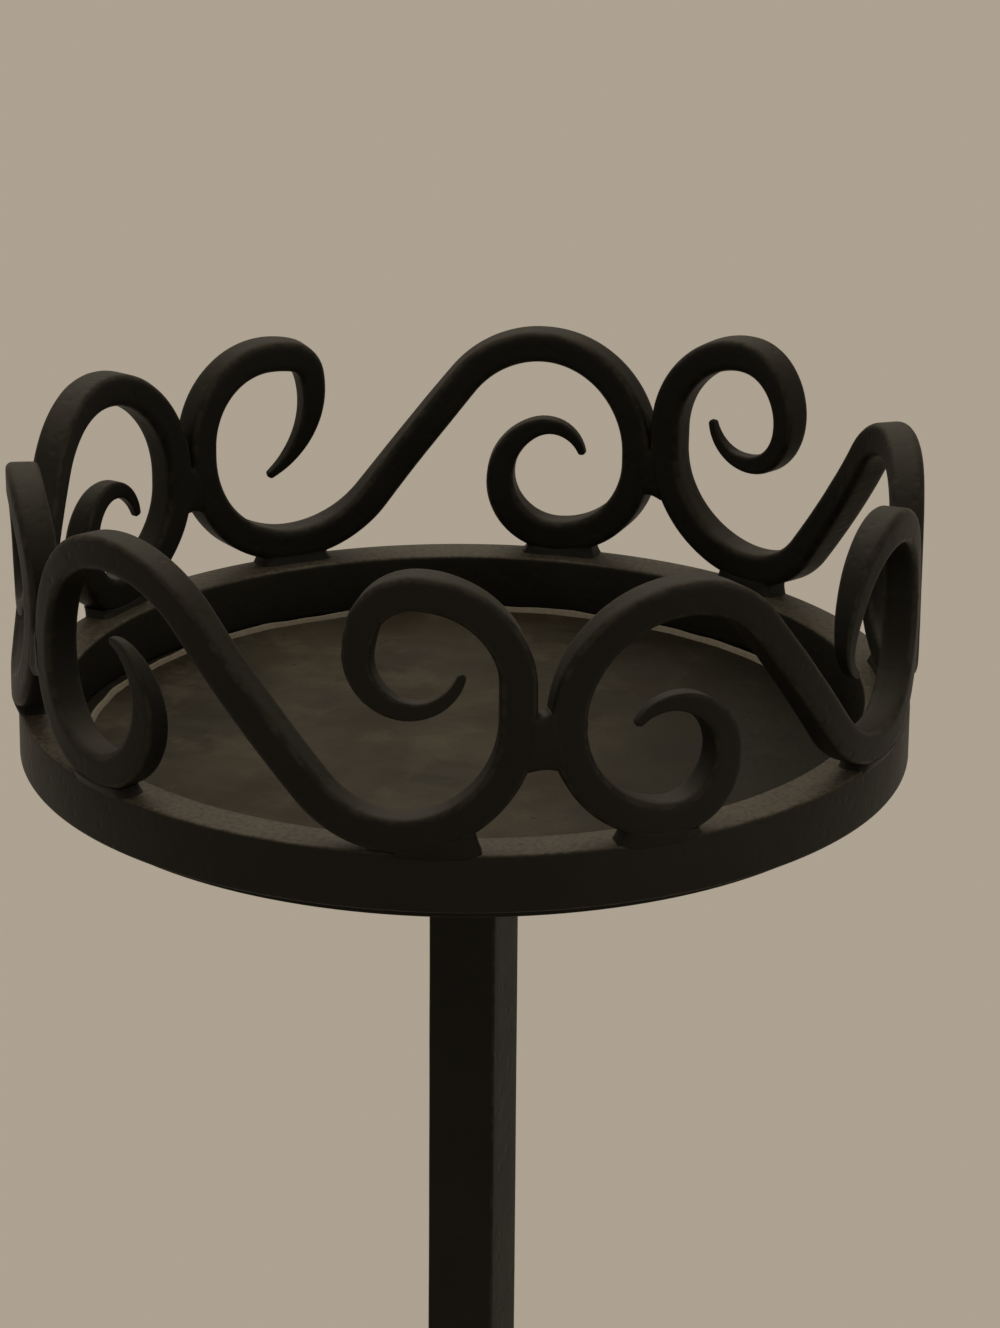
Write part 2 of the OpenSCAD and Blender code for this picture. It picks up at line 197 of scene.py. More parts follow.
class Shapes:
    """Builds one Geometry Nodes tree, with named inputs for its sizes."""

    def __init__(self, name, inputs):
        self.tree = bpy.data.node_groups.new(name, "GeometryNodeTree")
        face = self.tree.interface
        face.new_socket("Geometry", in_out="INPUT", socket_type="NodeSocketGeometry")
        face.new_socket("Geometry", in_out="OUTPUT", socket_type="NodeSocketGeometry")
        self.ids = {}
        for label, kind in inputs:
            socket = face.new_socket(label, in_out="INPUT", socket_type="NodeSocket" + kind)
            self.ids[label] = socket.identifier
        self.source = self.tree.nodes.new("NodeGroupInput")

    def read(self, label):
        return self.source.outputs[label]

    def node(self, kind, settings=None, **sockets):
        """The first output of a new node, whose settings are set before its sockets."""
        made = self.tree.nodes.new(kind)
        for key, value in (settings or {}).items():
            setattr(made, key, value)
        feed(self.tree, made, sockets)
        return made.outputs[0]

    def maths(self, operation, a, b=0.0):
        return self.node("ShaderNodeMath", {"operation": operation}, n0=a, n1=b)

    def vector(self, operation, a, b=(0.0, 0.0, 0.0)):
        return self.node("ShaderNodeVectorMath", {"operation": operation}, n0=a, n1=b)

    def scaled(self, vector, factor):
        return self.node("ShaderNodeVectorMath", {"operation": "SCALE"}, n0=vector, Scale=factor)

    def parts(self, vector):
        """The x, y and z of a vector."""
        return self.node("ShaderNodeSeparateXYZ", None, n0=vector).node.outputs

    def finish(self, geometry, material):
        real = self.node("GeometryNodeRealizeInstances", None, Geometry=geometry)
        done = self.node("GeometryNodeSetMaterial", None, Geometry=real, Material=material)
        self.tree.links.new(done, self.tree.nodes.new("NodeGroupOutput").inputs[0])

    def make(self, name, lines, **values):
        """The tree run on a line mesh with these inputs, as a plain mesh object."""
        raw = bpy.data.objects.new(name + "_line", lines)
        bpy.context.scene.collection.objects.link(raw)
        modifier = raw.modifiers.new("shape", "NODES")
        modifier.node_group = self.tree
        for label, value in values.items():
            modifier[self.ids[label.replace("_", " ")]] = value
        evaluated = raw.evaluated_get(bpy.context.evaluated_depsgraph_get())
        mesh = bpy.data.meshes.new_from_object(evaluated)
        raw.modifiers.remove(modifier)
        bpy.data.objects.remove(raw)
        return piece(name, mesh)


FLAT_END_CORNERS = 8


def piece(name, mesh):
    """A finished object at the origin, with every face pointing outwards, and smooth but for its
    flat ends, which are the faces of many corners."""
    shell = bmesh.new()
    shell.from_mesh(mesh)
    bmesh.ops.recalc_face_normals(shell, faces=shell.faces)
    if shell.calc_volume(signed=True) < 0:
        bmesh.ops.reverse_faces(shell, faces=shell.faces)
    for face in shell.faces:
        face.smooth = len(face.verts) < FLAT_END_CORNERS
    shell.to_mesh(mesh)
    shell.free()
    mesh.name = name
    made = bpy.data.objects.new(name, mesh)
    bpy.context.scene.collection.objects.link(made)
    return made


def square_section(shapes, side, softening, points):
    """A square with rounded corners, on a ring of points that carries a mark for the corners."""
    ring = shapes.node("GeometryNodeCurvePrimitiveCircle", {"mode": "RADIUS"},
        Resolution=points, Radius=side)
    at = shapes.node("GeometryNodeInputPosition")
    flat = shapes.maths("SUBTRACT", shapes.maths("MULTIPLY", side, 0.5), softening)
    inner = shapes.node("ShaderNodeCombineXYZ", None, X=flat, Y=flat, Z=0.0)
    low = shapes.scaled(inner, -1.0)
    core = shapes.vector("MAXIMUM", shapes.vector("MINIMUM", at, inner), low)
    away = shapes.vector("NORMALIZE", shapes.vector("SUBTRACT", at, core))
    x, y, z = shapes.parts(away)
    corner = shapes.maths("MULTIPLY", shapes.maths("ABSOLUTE", shapes.maths("MULTIPLY", x, y)), 2.0)
    marked = shapes.node("GeometryNodeStoreNamedAttribute",
        {"data_type": "FLOAT", "domain": "POINT"}, Geometry=ring, Name="edge", Value=corner)
    return shapes.node("GeometryNodeSetPosition", None, Geometry=marked,
        Position=shapes.vector("ADD", core, shapes.scaled(away, softening)))


# Hammer marks: how many lie along a metre, their roughness, and their share of the depth.
BLOWS, DENTS = (48.0, 1.0, 0.8), (170.0, 2.0, 0.2)
SECTION_POINTS = 32


def forged_bar(shapes, geometry):
    """A line swept with the square section, thinner where it is drawn out, and hammered."""
    curve = shapes.node("GeometryNodeMeshToCurve", None, Mesh=geometry)
    curve = shapes.node("GeometryNodeSetCurveNormal", {"mode": "FREE"}, Curve=curve,
        Normal=(0.0, 1.0, 0.0))
    share = shapes.node("GeometryNodeInputNamedAttribute", {"data_type": "FLOAT"}, Name="share")
    section = square_section(shapes, shapes.read("Bar side"), shapes.read("Edge softening"),
        SECTION_POINTS)
    bar = shapes.node("GeometryNodeCurveToMesh", None, Curve=curve, Profile_Curve=section,
        Scale=share, Fill_Caps=True)
    dips = []
    for per_metre, detail, part in (BLOWS, DENTS):
        marks = shapes.node("ShaderNodeTexNoise", {"noise_dimensions": "4D"},
            W=shapes.read("Seed"), Scale=per_metre, Detail=detail)
        dips.append(shapes.maths("MULTIPLY", marks, part))
    depth = shapes.maths("MULTIPLY", shapes.maths("ADD", *dips), shapes.read("Hammering"))
    push = shapes.scaled(shapes.node("GeometryNodeInputNormal"),
        shapes.maths("MULTIPLY", depth, -1.0))
    return shapes.node("GeometryNodeSetPosition", None, Geometry=bar, Offset=push)


def along(pose, arc, share):
    """The pose [x, y, heading, distance] at a share of one arc [radius, turn]. An arc of radius 0
    is a straight, and its turn is the length."""
    x, y, heading, gone = pose
    radius, turn = arc
    if radius == 0:
        way = share * turn
        return [x + way * math.cos(heading), y + way * math.sin(heading), heading, gone + way]
    side = math.copysign(radius, turn)
    after = heading + math.radians(share * turn)
    return [x + side * (math.sin(after) - math.sin(heading)),
        y - side * (math.cos(after) - math.cos(heading)),
        after, gone + radius * abs(math.radians(share * turn))]


def arcs_length(arcs):
    return sum(turn if radius == 0 else radius * abs(math.radians(turn)) for radius, turn in arcs)


def follow(arcs, start, step):
    """Poses every few millimetres along a chain of arcs."""
    poses, pose = [start], start
    for arc in arcs:
        count = max(1, math.ceil(arcs_length([arc]) / step))
        poses += [along(pose, arc, (i + 1) / count) for i in range(count)]
        pose = poses[-1]
    return poses


TIP_LEAST, NEARLY_ALL, TIP_STEPS = 0.12, 0.98, 6


def drawn_out(poses, stretch, left, taper, blunt):
    """Each pose's share of the bar's size: it falls to what is left over the last stretch, and
    the tip is rounded."""
    whole = poses[-1][3]
    shares = []
    for pose in poses:
        rest = whole - pose[3]
        share = 1 - (1 - left) * max(0.0, 1 - rest / stretch) ** taper
        if rest < blunt:
            share *= max(TIP_LEAST, math.sqrt(1 - (1 - rest / blunt) ** 2))
        shares.append(share)
    return shares


def tip_steps(poses, blunt):
    """More poses in the last bit of a tip, so that it closes round."""
    end, before = poses[-1], poses[-2]
    whole = end[3] - before[3]
    reach = min(blunt, whole * NEARLY_ALL)
    extra = []
    for i in range(TIP_STEPS):
        share = 1 - reach / whole * math.cos(i / (TIP_STEPS - 1) * math.pi / 2)
        extra.append([before[j] + share * (end[j] - before[j]) for j in range(4)])
    return poses[:-1] + extra


def bar_line(name, middle_to_low, low_shares, middle_to_high, high_shares):
    """A line mesh from the upper tip through the middle to the lower tip, with its shares."""
    poses = list(reversed(middle_to_high)) + middle_to_low[1:]
    shares = list(reversed(high_shares)) + low_shares[1:]
    line = bpy.data.meshes.new(name)
    line.from_pydata([(p[0] * MM, 0.0, p[1] * MM) for p in poses],
        [(i, i + 1) for i in range(len(poses) - 1)], [])
    line.attributes.new("share", "FLOAT", "POINT").data.foreach_set("value", shares)
    return line


LEGS, LEG_BAR, LEG_EDGE = 4, 12.0, 1.5
LEG_REACH, LEG_LEAVE, LEG_FLAT = 210.0, 205.0, 45.0
LEG_WAIST, KNEE_R, FOOT_R, VOLUTE_R = 26.8, 40.0, 36.0, 30.0
FOOT_CURL, VOLUTE_CURL = [[24, -160], [14, -125]], [[21, -160], [13, -125]]
LEG_DRAW, LEG_TIP, TAPER, LEG_BLUNT = 90.0, 0.25, 1.5, 1.5
LEG_STEP, LEG_HAMMERING = 2.0, 0.5
POST_W, PAD_T, PAD_SQUASH = 20.5, 4.0, 0.8

leg_x = POST_W / 2 + LEG_BAR / 2
knee_x, knee_z = LEG_REACH - LEG_BAR / 2 - KNEE_R, PAD_T - PAD_SQUASH + LEG_BAR / 2 + FOOT_R
foot_x = LEG_REACH - LEG_BAR / 2 - FOOT_R
sweep_r = ((knee_x - leg_x) ** 2 + (LEG_LEAVE - knee_z) ** 2 - KNEE_R ** 2 - LEG_WAIST ** 2) \
    / (2 * (knee_x - leg_x + KNEE_R))
gap_x, gap_z = knee_x - leg_x - sweep_r, knee_z - LEG_LEAVE
lean_in = math.degrees(math.asin((sweep_r + KNEE_R) / math.hypot(gap_x, gap_z))
    + math.atan2(gap_z, gap_x))
middle = LEG_LEAVE + LEG_FLAT / 2
leg_arcs = {
    "low": [[0, LEG_FLAT / 2], [sweep_r, 90 + lean_in], [0, LEG_WAIST], [KNEE_R, -90 - lean_in],
        [FOOT_R, -90]] + FOOT_CURL,
    "high": [[0, LEG_FLAT / 2], [VOLUTE_R, -180]] + VOLUTE_CURL}
leg_ends = []
for side, heading in (("low", -math.pi / 2), ("high", math.pi / 2)):
    poses = tip_steps(follow(leg_arcs[side], [leg_x, middle, heading, 0], LEG_STEP), LEG_BLUNT)
    leg_ends += [poses, drawn_out(poses, LEG_DRAW, LEG_TIP, TAPER, LEG_BLUNT)]

leg_tree = Shapes("forged leg", [("Bar side", "Float"), ("Edge softening", "Float"),
    ("Turn", "Float"), ("Hammering", "Float"), ("Seed", "Float"), ("Paint", "Material")])
leg_bar = forged_bar(leg_tree, leg_tree.read("Geometry"))
leg_turn = leg_tree.node("ShaderNodeCombineXYZ", None, Z=leg_tree.read("Turn"))
leg_bar = leg_tree.node("GeometryNodeTransform", None, Geometry=leg_bar, Rotation=leg_turn)
leg_tree.finish(leg_bar, leg_tree.read("Paint"))

for k in range(LEGS):
    leg = leg_tree.make(f"forged_leg_{k + 1}", bar_line("leg_line", *leg_ends),
        Bar_side=LEG_BAR * MM, Edge_softening=LEG_EDGE * MM, Turn=math.radians(360 / LEGS * k),
        Hammering=LEG_HAMMERING * MM, Seed=2.7 * k + 1.0, Paint=PAINT)
    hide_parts(f"leg_{k + 1}")
    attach(leg, "stand")

# ---- Foot pads ----
# Round moulded rubber pads under the lowest point of each leg. The leg's weight presses it
# a little way into the pad.

PAD_R, PAD_EDGE, PAD_TAPER = 11.0, 0.9, 0.5
PAD_RIM, PAD_RIM_EDGE, PAD_CUP, PAD_CUP_SLOPE, PAD_CUP_EDGE = 3.0, 0.6, 0.8, 1.0, 0.4
PAD_POINTS, PAD_UNEVEN = 64, 0.15


def set_in(depth, x, y, z):
    """How far a surface lies in at a place, smoothly between nothing and this depth."""
    return depth * (0.5 + 0.5 * noise.noise(Vector((x, y, z))))


def skin(rings, closed):
    """Faces between one ring of point numbers and the next. A ring of one point is a pole, and
    closed joins the last ring to the first."""
    faces = []
    for low, high in zip(rings, rings[1:] + (rings[:1] if closed else [])):
        count = max(len(low), len(high))
        for j in range(count):
            k = (j + 1) % count
            if len(low) == 1:
                faces.append((low[0], high[k], high[j]))
            elif len(high) == 1:
                faces.append((low[j], low[k], high[0]))
            else:
                faces.append((low[j], low[k], high[k], high[j]))
    return faces


def ring_of(profile, count, uneven=0.0, seed=0, shift=(0.0, 0.0)):
    """Points, marks and faces of a profile of (radius, height, mark) turned round the upright
    axis, in mm. A profile whose ends lie on the axis closes there; any other is a closed loop."""
    points, marks, rings = [], [], []
    for radius, height, mark in profile:
        centre = Vector((shift[0], shift[1], height))
        ring = []
        for j in range(1 if radius == 0 else count):
            turn = 2 * math.pi * j / count
            place = Vector((math.cos(turn), math.sin(turn), 0))
            soft = set_in(uneven, place.x * 3, place.y * 3, height / 9 + seed) if radius else 0
            ring.append(len(points))
            points.append(centre + place * (radius - soft))
            marks.append(mark)
        rings.append(ring)
    return points, marks, skin(rings, profile[0][0] > 0 or profile[-1][0] > 0)


def solid(name, points, marks, faces, material):
    """A piece from points in mm, faces and the mark of how near each point is to an edge."""
    mesh = bpy.data.meshes.new(name)
    mesh.from_pydata([tuple(p * MM) for p in points], [], faces)
    mesh.attributes.new("edge", "FLOAT", "POINT").data.foreach_set("value", marks)
    mesh.materials.append(material)
    return piece(name, mesh)


def rounded(corners, softening, steps=4):
    """A closed outline of (x, y) corners, each rounded by its own softening or by the same one,
    as (x, y, mark)."""
    outline = []
    for i, (x, y) in enumerate(corners):
        before, after = Vector(corners[i - 1]), Vector(corners[(i + 1) % len(corners)])
        here = Vector((x, y))
        soft = softening[i] if isinstance(softening, list) else softening
        if soft == 0:
            outline.append((x, y, 0.0))
            continue
        to_b, to_a = (before - here).normalized(), (after - here).normalized()
        for s in range(steps + 1):
            t = s / steps
            a, b, c = (1 - t) ** 2, 2 * t * (1 - t), t * t
            p = a * (here + to_b * soft) + b * here + c * (here + to_a * soft)
            outline.append((p.x, p.y, math.sin(math.pi * t)))
    return outline


RUBBER_DARK, RUBBER_LIGHT = (0.014, 0.014, 0.014, 1), (0.026, 0.025, 0.024, 1)
RUBBER_DUST = (0.09, 0.082, 0.07, 1)


def moulded_rubber():
    """Matt black rubber with a fine moulded grain, dusty on its upper face."""
    rubber = Finish("moulded_rubber")
    grain = rubber.spots(0.0006, detail=2.0, seed=11.0)
    cloud = rubber.spots(0.008, seed=12.0)
    dust = rubber.up.rise(0.3, 0.9) * cloud.rise(0.3, 0.7)
    base = (dust * 0.5).mix(cloud.mix(RUBBER_DARK, RUBBER_LIGHT), RUBBER_DUST)
    rubber.set(Base_Color=base, Specular_IOR_Level=0.3,
        Roughness=(0.72 + 0.16 * (grain - 0.5) + 0.1 * dust).clip())
    rubber.relief((cloud, 0.0002), (grain, 0.00006))
    return rubber.material


RUBBER = moulded_rubber()
rim_in = PAD_R - PAD_RIM
outline = rounded([(PAD_R - PAD_TAPER, 0), (PAD_R, PAD_T), (rim_in, PAD_T),
    (rim_in - PAD_CUP_SLOPE, PAD_T - PAD_CUP)], [PAD_EDGE, PAD_EDGE, PAD_RIM_EDGE, PAD_CUP_EDGE])
outline = [(0, 0, 0), (rim_in, 0, 0)] + outline + [(0, PAD_T - PAD_CUP, 0)]
for k in range(LEGS):
    turn = math.radians(360 / LEGS * k)
    shape = ring_of(outline, PAD_POINTS, PAD_UNEVEN, k,
        (foot_x * math.cos(turn), foot_x * math.sin(turn)))
    pad = solid(f"rubber_pad_{k + 1}", *shape, RUBBER)
    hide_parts(f"foot_pad_{k + 1}")
    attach(pad, "stand")

# ---- Post ----
# A square steel tube with rounded long edges, painted black. A rubber cap closes its lower
# end, and a tapped block is welded into its upper end. It ends under the tray's plate.

HOOP_TOP, HOOP_H, PLATE_T = 960.0, 16.5, 4.0
POST_WALL, POST_EDGE, POST_LOW, POST_INNER_EDGE = 2.0, 1.2, 165.0, 0.8
POST_END_IN, POST_END_UP, POST_LEVELS, POST_UNEVEN, POST_CORNER_STEPS = 0.6, 0.5, 160, 0.12, 5
CAP_T, CAP_IN, CAP_FIT, CAP_EDGE, CAP_ROUND_IN, CAP_ROUND_UP = 2.0, 14.0, 0.05, 0.8, 0.5, 0.25


def square_ring(side, softening, height, uneven=0.0):
    """One level of an upright square tube: points round it and their edge marks. Its flat sides
    get three points more."""
    half = side / 2
    outline = rounded([(half, -half), (half, half), (-half, half), (-half, -half)], softening,
        POST_CORNER_STEPS)
    dense = []
    for i, here in enumerate(outline):
        after = outline[(i + 1) % len(outline)]
        dense.append(here)
        if math.hypot(after[0] - here[0], after[1] - here[1]) > side / 3:
            for t in (0.25, 0.5, 0.75):
                dense.append(tuple(here[j] + t * (after[j] - here[j]) for j in range(3)))
    points = []
    for x, y, mark in dense:
        shrink = 1 - set_in(uneven, x / 14, y / 14, height / 30) / half
        points.append((Vector((x * shrink, y * shrink, height)), mark))
    return points


def stacked(levels, close_ends):
    """Points, marks and faces of levels of equal count, joined one over the other. The ends are
    closed, or else the last level is joined to the first."""
    count = len(levels[0])
    points = [p for level in levels for p, mark in level]
    marks = [mark for level in levels for p, mark in level]
    rings = [list(range(i * count, (i + 1) * count)) for i in range(len(levels))]
    faces = skin(rings, not close_ends)
    if close_ends:
        faces += [tuple(reversed(rings[0])), tuple(rings[-1])]
    return points, marks, faces


hoop_low = HOOP_TOP - HOOP_H
plate_low = hoop_low - PLATE_T
inside = POST_W - 2 * POST_WALL
rise = plate_low - POST_LOW - 2 * POST_END_UP
heights = [POST_LOW + POST_END_UP + rise * i / POST_LEVELS for i in range(POST_LEVELS + 1)]
levels = [square_ring(POST_W - POST_END_IN, POST_EDGE, POST_LOW)]
levels += [square_ring(POST_W, POST_EDGE, z, POST_UNEVEN) for z in heights]
levels += [square_ring(POST_W - POST_END_IN, POST_EDGE, plate_low),
    square_ring(inside, POST_INNER_EDGE, plate_low),
    square_ring(inside, POST_INNER_EDGE, POST_LOW)]
post = solid("square_post", *stacked(levels, False), PAINT)
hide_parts("post")
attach(post, "stand")

cap_low, cap_in_w = POST_LOW - CAP_T, inside - 2 * CAP_FIT
levels = [square_ring(POST_W - 2 * CAP_EDGE, POST_EDGE, cap_low),
    square_ring(POST_W - CAP_ROUND_IN, POST_EDGE, cap_low + CAP_ROUND_UP),
    square_ring(POST_W, POST_EDGE, cap_low + CAP_EDGE),
    square_ring(POST_W, POST_EDGE, POST_LOW),
    square_ring(cap_in_w, POST_INNER_EDGE, POST_LOW),
    square_ring(cap_in_w, POST_INNER_EDGE, POST_LOW + CAP_IN)]
cap = solid("post_cap", *stacked(levels, True), RUBBER)
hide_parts("post_end_cap")
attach(cap, "stand")
plug = frame["nodes"]["post_top_plug"]
plug.data.materials.clear()
plug.data.materials.append(PAINT)

# ---- Tray plate and screw ----
# A round plate welded under the hoop closes the tray. One countersunk screw holds the tray
# to the block in the post. The tray was welded up by eye, so it sits a little off the post.

HOOP_R, HOOP_W = 127.0, 13.0
PLATE_LAP, PLATE_EDGE, PLATE_TOP_EDGE, PLATE_POINTS = 6.0, 0.6, 0.2, 160
TRAY_OFF, TRAY_OFF_TURN = 3.0, 200.5
SCREW_R, SCREW_HEAD_R, SCREW_HEAD_H, SCREW_SINK, SCREW_FIT = 3.0, 6.0, 3.3, 0.2, 0.05

plate_r = HOOP_R - HOOP_W + PLATE_LAP
tray_turn = math.radians(TRAY_OFF_TURN)
tray = TRAY_OFF * Vector((math.cos(tray_turn), math.sin(tray_turn), 0))
hole_r, head_hole_r, head_low = SCREW_R + SCREW_FIT, SCREW_HEAD_R + SCREW_FIT, hoop_low - SCREW_SINK
outline = rounded([(hole_r, plate_low), (plate_r, plate_low), (plate_r, hoop_low),
    (head_hole_r, hoop_low), (head_hole_r, head_low), (hole_r, head_low - SCREW_HEAD_H)],
    [0, PLATE_EDGE, PLATE_TOP_EDGE, 0, 0, 0])
points, marks, faces = ring_of(outline, PLATE_POINTS)
points = [p + tray if p.xy.length > plate_r / 2 else p for p in points]
plate = solid("round_plate", points, marks, faces, PAINT)
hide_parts("tray_plate")
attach(plate, "stand")

ZINC_DULL, ZINC_BRIGHT = (0.50, 0.50, 0.47, 1), (0.64, 0.64, 0.62, 1)
ZINC_DIRT = (0.30, 0.27, 0.22, 1)


def zinc():
    """Zinc-plated steel, brushed by the driver, dulled and dusty."""
    plating = Finish("zinc_plated_steel")
    cloud = plating.spots(0.003, seed=21.0)
    scratch = plating.spots(0.0004, detail=4.0, seed=22.0, stretch=(1.0, 6.0, 1.0))
    base = (cloud.rise(0.5, 0.7) * 0.4).mix(cloud.mix(ZINC_DULL, ZINC_BRIGHT), ZINC_DIRT)
    plating.set(Base_Color=base, Metallic=1.0,
        Roughness=(0.34 + 0.2 * (scratch - 0.5) + 0.16 * cloud).clip())
    plating.relief((scratch, 0.00003), (cloud, 0.00006))
    return plating.material


screw = frame["nodes"]["tray_screw"]
screw.data.materials.clear()
screw.data.materials.append(zinc())

# ---- Hoop ----
# Heavy flat-sided bar bent into a round rim, with softened edges. The crown of scrolls
# stands on it, and the plate closes it from below.

HOOP_EDGE, HOOP_POINTS, HOOP_UNEVEN, HOOP_SEED = 1.1, 320, 0.25, 5
# Thicker dust on the hoop's top, which also serves as painted light on it.
THICK_DUST_AND_TOP_LIGHT = (0.112, 0.099, 0.075, 1)

inner = HOOP_R - HOOP_W
outline = rounded([(inner, hoop_low), (HOOP_R, hoop_low), (HOOP_R, HOOP_TOP), (inner, HOOP_TOP)],
    HOOP_EDGE)
hoop = solid("hoop_rim", *ring_of(outline, HOOP_POINTS, HOOP_UNEVEN, HOOP_SEED, tray.xy),
    black_paint("black_paint_dust_and_top_light", THICK_DUST_AND_TOP_LIGHT))
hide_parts("hoop")
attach(hoop, "stand")

# ---- Drip pan ----
# A loose sheet pan that lies on the plate inside the hoop. Its low lip is turned up by hand
# and is a little ragged, and its brown-grey lacquer is dusty and stained.

PAN_T, PAN_H, PAN_GAP, PAN_LIP_W = 1.2, 4.0, 4.2, 3.0
PAN_RINGS, PAN_UNDER_RINGS, PAN_POINTS = 40, 8, 240
# How far the lip leans in and lies low at most places, and what its sway and its nicks add.
LIP_IN, LIP_DOWN = (1.2, 0.6, 0.5), (1.3, 0.3, 0.5)
FLOOR_SWELL, SWELL_SIZE, SWELL_ENDS = 0.35, 42, 12
# The direction across the pan in which it turns darker, and where that change begins and ends.
DARKER_SIDE_FACING, DARKER_SIDE_FROM_TO = (0.94, 0.35, 0.0), (0.0, 0.085)
LACQUER_DARK, LACQUER_LIGHT = (0.017, 0.0145, 0.0095, 1), (0.039, 0.0335, 0.0225, 1)
LACQUER_STREAK, LACQUER_STAIN = (0.040, 0.036, 0.027, 1), (0.022, 0.0150, 0.0088, 1)
WAX_BLOOM, LACQUER_DARKER_SIDE = (0.066, 0.058, 0.043, 1), (0.0060, 0.0052, 0.0032, 1)
# The lip colour is worn lacquer, made much lighter as a painted highlight.
LACQUER_SPECK, LIP_RUB_AND_HIGHLIGHT = (0.010, 0.0075, 0.005, 1), (0.190, 0.172, 0.140, 1)


def pan_lacquer():
    """Brown-grey lacquer with streaks, rusty stains, wax bloom and a worn, dusty lip, painted light
    along its rim as a highlight. It is darker towards one side."""
    lacquer = Finish("pan_lacquer")
    # The pan grows darker towards one side, fading in along a direction across it.
    place = lacquer.at.node("ShaderNodeVectorMath", {"operation": "DOT_PRODUCT"},
        n0=lacquer.at, n1=DARKER_SIDE_FACING)
    darker_side = (lacquer.at.out(place, "Value")
        + 0.05 * (lacquer.spots(0.06, detail=2.0, seed=37.0) - 0.5)).rise(*DARKER_SIDE_FROM_TO)
    cloud = lacquer.spots(0.038, detail=4.0, seed=31.0)
    stain = lacquer.spots(0.045, detail=4.0, seed=32.0).rise(0.48, 0.64)
    bloom = lacquer.spots(0.022, detail=5.0, rough=0.65, seed=33.0).rise(0.48, 0.68)
    speck = lacquer.pits(0.006, seed=34.0).rise(0.18, 0.1) \
        * lacquer.spots(0.02, seed=35.0).rise(0.5, 0.62)
    grain = lacquer.spots(0.0015, detail=3.0, seed=36.0)
    streak = lacquer.spots(0.03, detail=4.0, rough=0.6, seed=40.0, stretch=(1.0, 5.0, 1.0))
    # The lip's light band: worn lacquer, lightened further as a painted highlight.
    lip_rub_and_highlight = (lacquer.mark("edge") + 0.7 * (lacquer.spots(0.007, seed=38.0) - 0.5)
        + 0.6 * (lacquer.spots(0.09, seed=39.0) - 0.5)).rise(0.4, 0.65)
    base = cloud.rise(0.3, 0.7).mix(LACQUER_DARK, LACQUER_LIGHT)
    base = (streak.rise(0.35, 0.7) * 0.5).mix(base, LACQUER_STREAK)
    base = (stain * 0.75).mix(base, LACQUER_STAIN)
    base = (bloom * 0.65).mix(base, WAX_BLOOM)
    base = (darker_side * 0.85).mix(base, LACQUER_DARKER_SIDE)
    base = (speck * 0.7).mix(base, LACQUER_SPECK)
    base = (lip_rub_and_highlight * (0.6 + 0.6 * grain)).clip().mix(base, LIP_RUB_AND_HIGHLIGHT)
    rough = 0.5 + 0.15 * bloom + 0.12 * (cloud - 0.5) + 0.1 * (grain - 0.5)
    lacquer.set(Base_Color=base, Specular_IOR_Level=0.06, Roughness=rough.clip())
    lacquer.relief((cloud, 0.0012), (bloom, 0.0002), (grain, 0.00006))
    return lacquer.material


pan_r = HOOP_R - HOOP_W - PAN_GAP
lip_foot = pan_r - PAN_LIP_W
# The pan's section from the middle of its floor over the lip and back under, as (radius,
# height, how much it follows the ragged lip, mark). The mark sets the lip's worn, painted-highlight
# band.
pan_section = [(lip_foot * i / PAN_RINGS, PAN_T, 0.0, 0.0) for i in range(PAN_RINGS + 1)] + [
    (lip_foot + 0.5, PAN_T + 0.25, 0.2, 0.3),
    (lip_foot + 1.1, PAN_T + 0.9, 0.55, 0.85),
    (pan_r - 1.1, PAN_H - 0.35, 0.85, 1.0),
    (pan_r - 0.75, PAN_H, 1.0, 1.0),
    (pan_r - 0.3, PAN_H, 1.0, 1.0),
    (pan_r, PAN_H - 0.35, 0.95, 1.0),
    (pan_r - 0.1, PAN_H - PAN_T, 0.7, 0.5),
    (lip_foot + 1.2, 0.6, 0.3, 0.0),
    (lip_foot + 0.3, 0.0, 0.0, 0.0)]
pan_section += [(lip_foot * i / PAN_UNDER_RINGS, 0.0, 0.0, 0.0)
    for i in range(PAN_UNDER_RINGS - 1, -1, -1)]

points, marks, rings = [], [], []
for radius, height, ragged, mark in pan_section:
    ring = []
    for j in range(1 if radius == 0 else PAN_POINTS):
        turn = 2 * math.pi * j / PAN_POINTS
        x, y = math.cos(turn), math.sin(turn)
        sway = noise.noise(Vector((x * 2.3, y * 2.3, 4.1)))
        nick = noise.noise(Vector((x * 11, y * 11, 7.7)))
        out = radius - ragged * (LIP_IN[0] + LIP_IN[1] * sway + LIP_IN[2] * nick)
        top = height - ragged * (LIP_DOWN[0] + LIP_DOWN[1] * sway + LIP_DOWN[2] * nick)
        if ragged == 0 and height > 0:
            swell = noise.noise(Vector((x * radius / SWELL_SIZE, y * radius / SWELL_SIZE, 1.9)))
            top += FLOOR_SWELL * (swell - 0.2) * min(1.0, (lip_foot - radius) / SWELL_ENDS)
        ring.append(len(points))
        points.append(tray + Vector((x * out, y * out, hoop_low + max(0.0, top))))
        marks.append(mark)
    rings.append(ring)
pan = solid("sheet_pan", points, marks, skin(rings, False), pan_lacquer())
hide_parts("drip_pan")
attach(pan, "pan")

# ---- Crown scrolls ----
# Five S-scrolls of square bar, drawn down to thin tips, each bent round the hoop and stood
# on it. They were made by hand, so each has its own curls, its own lean and its own width.

BAR, BAR_EDGE, TIP_SHARE, BLUNT = 10.0, 2.2, 0.25, 1.2
CROWN_PROUD, WAIST, BELLY_R, CROWN_TURN, FOOT_GAP = 2.0, 41.0, 28.5, 11.2, 0.5
SCROLLS, TOUCH, SCROLL_STEP, SCROLL_HAMMERING = 5, 0.1, 1.5, 0.4
# How far past the start of its curl an end begins to thin.
LATE_DRAW = {"low": 12, "up": 0}
